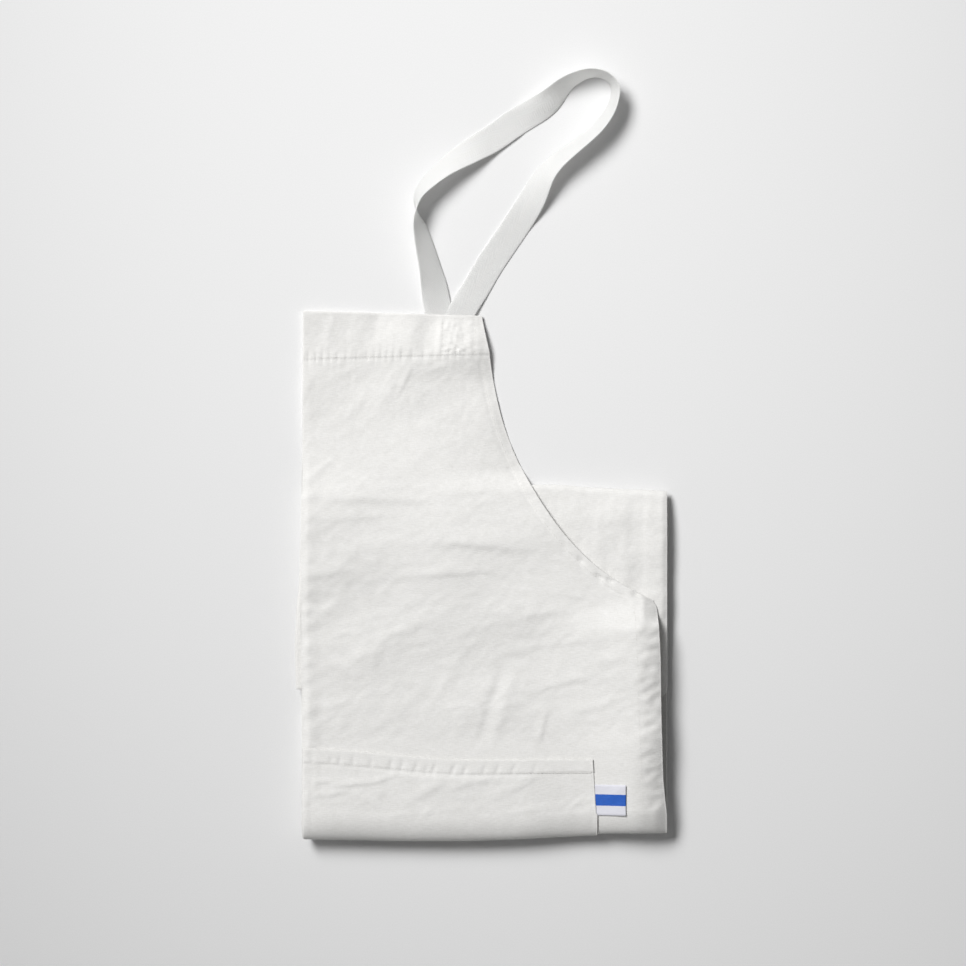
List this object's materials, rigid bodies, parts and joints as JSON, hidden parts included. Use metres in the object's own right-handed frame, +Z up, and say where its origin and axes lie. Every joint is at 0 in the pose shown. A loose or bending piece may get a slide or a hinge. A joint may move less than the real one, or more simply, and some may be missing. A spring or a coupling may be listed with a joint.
{
  "type": "apron",
  "caption": "Linen bib apron folded into a flat stack and lying face up, with a wide front pocket, a label tab in its side seam and a looped neck tape above the bib.",
  "frame": {"origin": "on the table, under the middle of the part's box", "axes": "+X from the centre fold to the side hems, +Y from the bottom fold to the neck tape, +Z up from the table through the layers"},
  "size_m": [0.332, 0.6784, 0.025],
  "materials": {
    "linen": "matt white linen with slubs",
    "cotton_tape": "matt white herringbone tape",
    "label": "smooth woven ribbon with a blue band"
  },
  "bodies": {
    "root": {"apron_panel": "linen", "pocket": "linen", "neck_strap": "cotton_tape", "label_tab": "label"}
  },
  "joints": []
}
